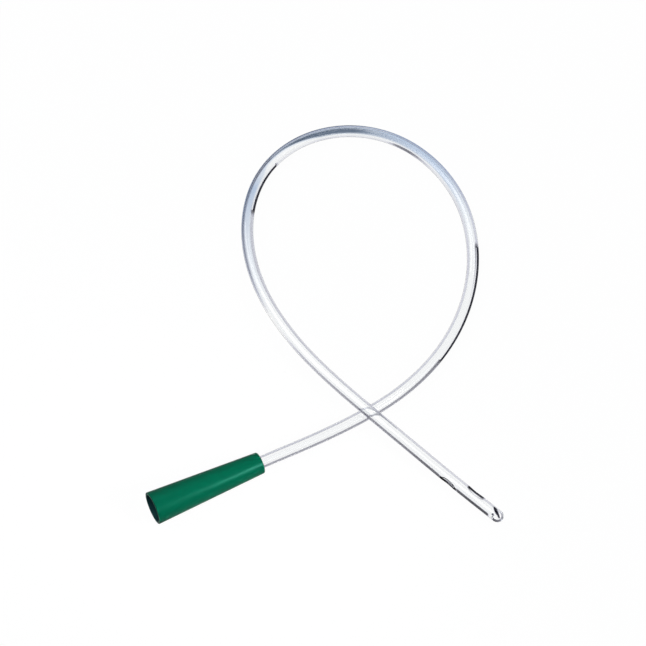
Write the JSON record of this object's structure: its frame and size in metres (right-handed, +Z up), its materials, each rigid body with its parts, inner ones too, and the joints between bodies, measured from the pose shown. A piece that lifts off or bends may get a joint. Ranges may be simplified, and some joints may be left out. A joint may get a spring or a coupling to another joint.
{
  "type": "nelaton catheter",
  "caption": "Clear flexible urinary tube with a closed round tip and side eyes, bonded into a green funnel connector, lying in a loose loop on a surface.",
  "frame": {"origin": "on the surface that the catheter lies on, at the middle of the object's box", "axes": "+Z up from the surface; X along the funnel's axis seen from above, with the mouth towards -X; +Y towards the loop"},
  "size_m": [0.1677, 0.1839, 0.0126],
  "materials": {
    "clear_tube": "gloss",
    "green_funnel": "satin"
  },
  "bodies": {
    "root": {"catheter_tube": "clear_tube", "funnel_connector": "green_funnel"}
  },
  "joints": []
}
